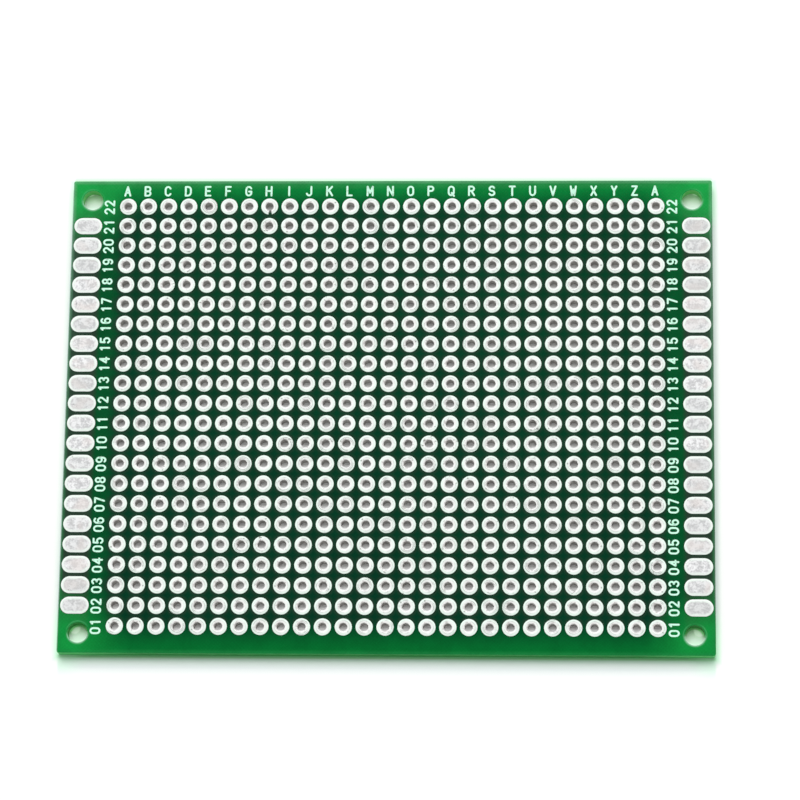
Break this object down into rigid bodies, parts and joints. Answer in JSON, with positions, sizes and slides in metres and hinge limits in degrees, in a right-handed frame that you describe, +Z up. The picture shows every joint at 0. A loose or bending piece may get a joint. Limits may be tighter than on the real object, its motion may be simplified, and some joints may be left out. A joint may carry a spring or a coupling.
{
  "type": "prototype board",
  "caption": "Rectangular double-sided perfboard with a grid of plated through holes, soldered edge pads, green solder mask and a mounting hole in each corner.",
  "frame": {"origin": "under the centre of the board, in the plane of the lowest solder, on which the board lies", "axes": "+X along a row of holes, parallel to the long edges; +Y across the rows, from row 1 to row 22; +Z up through the board, towards the side with the printed grid letters and row numbers"},
  "size_m": [0.08, 0.06, 0.0016],
  "materials": {
    "laminate": "glass-fibre epoxy laminate, matt sawn edges",
    "solder_mask": "green solder mask, smooth satin gloss",
    "solder": "solder-coated copper, frosted bright"
  },
  "bodies": {
    "root": {"eyelets_row_01": "solder", "eyelets_row_02": "solder", "eyelets_row_03": "solder", "eyelets_row_04": "solder", "eyelets_row_05": "solder", "eyelets_row_06": "solder", "eyelets_row_07": "solder", "eyelets_row_08": "solder", "eyelets_row_09": "solder", "eyelets_row_10": "solder", "eyelets_row_11": "solder", "eyelets_row_12": "solder", "eyelets_row_13": "solder", "eyelets_row_14": "solder", "eyelets_row_15": "solder", "eyelets_row_16": "solder", "eyelets_row_17": "solder", "eyelets_row_18": "solder", "eyelets_row_19": "solder", "eyelets_row_20": "solder", "eyelets_row_21": "solder", "eyelets_row_22": "solder", "laminate": "laminate", "solder_mask_top": "solder_mask", "solder_mask_bottom": "solder_mask", "edge_pads_left_top": "solder", "edge_pads_right_top": "solder", "edge_pads_left_bottom": "solder", "edge_pads_right_bottom": "solder"}
  },
  "joints": []
}
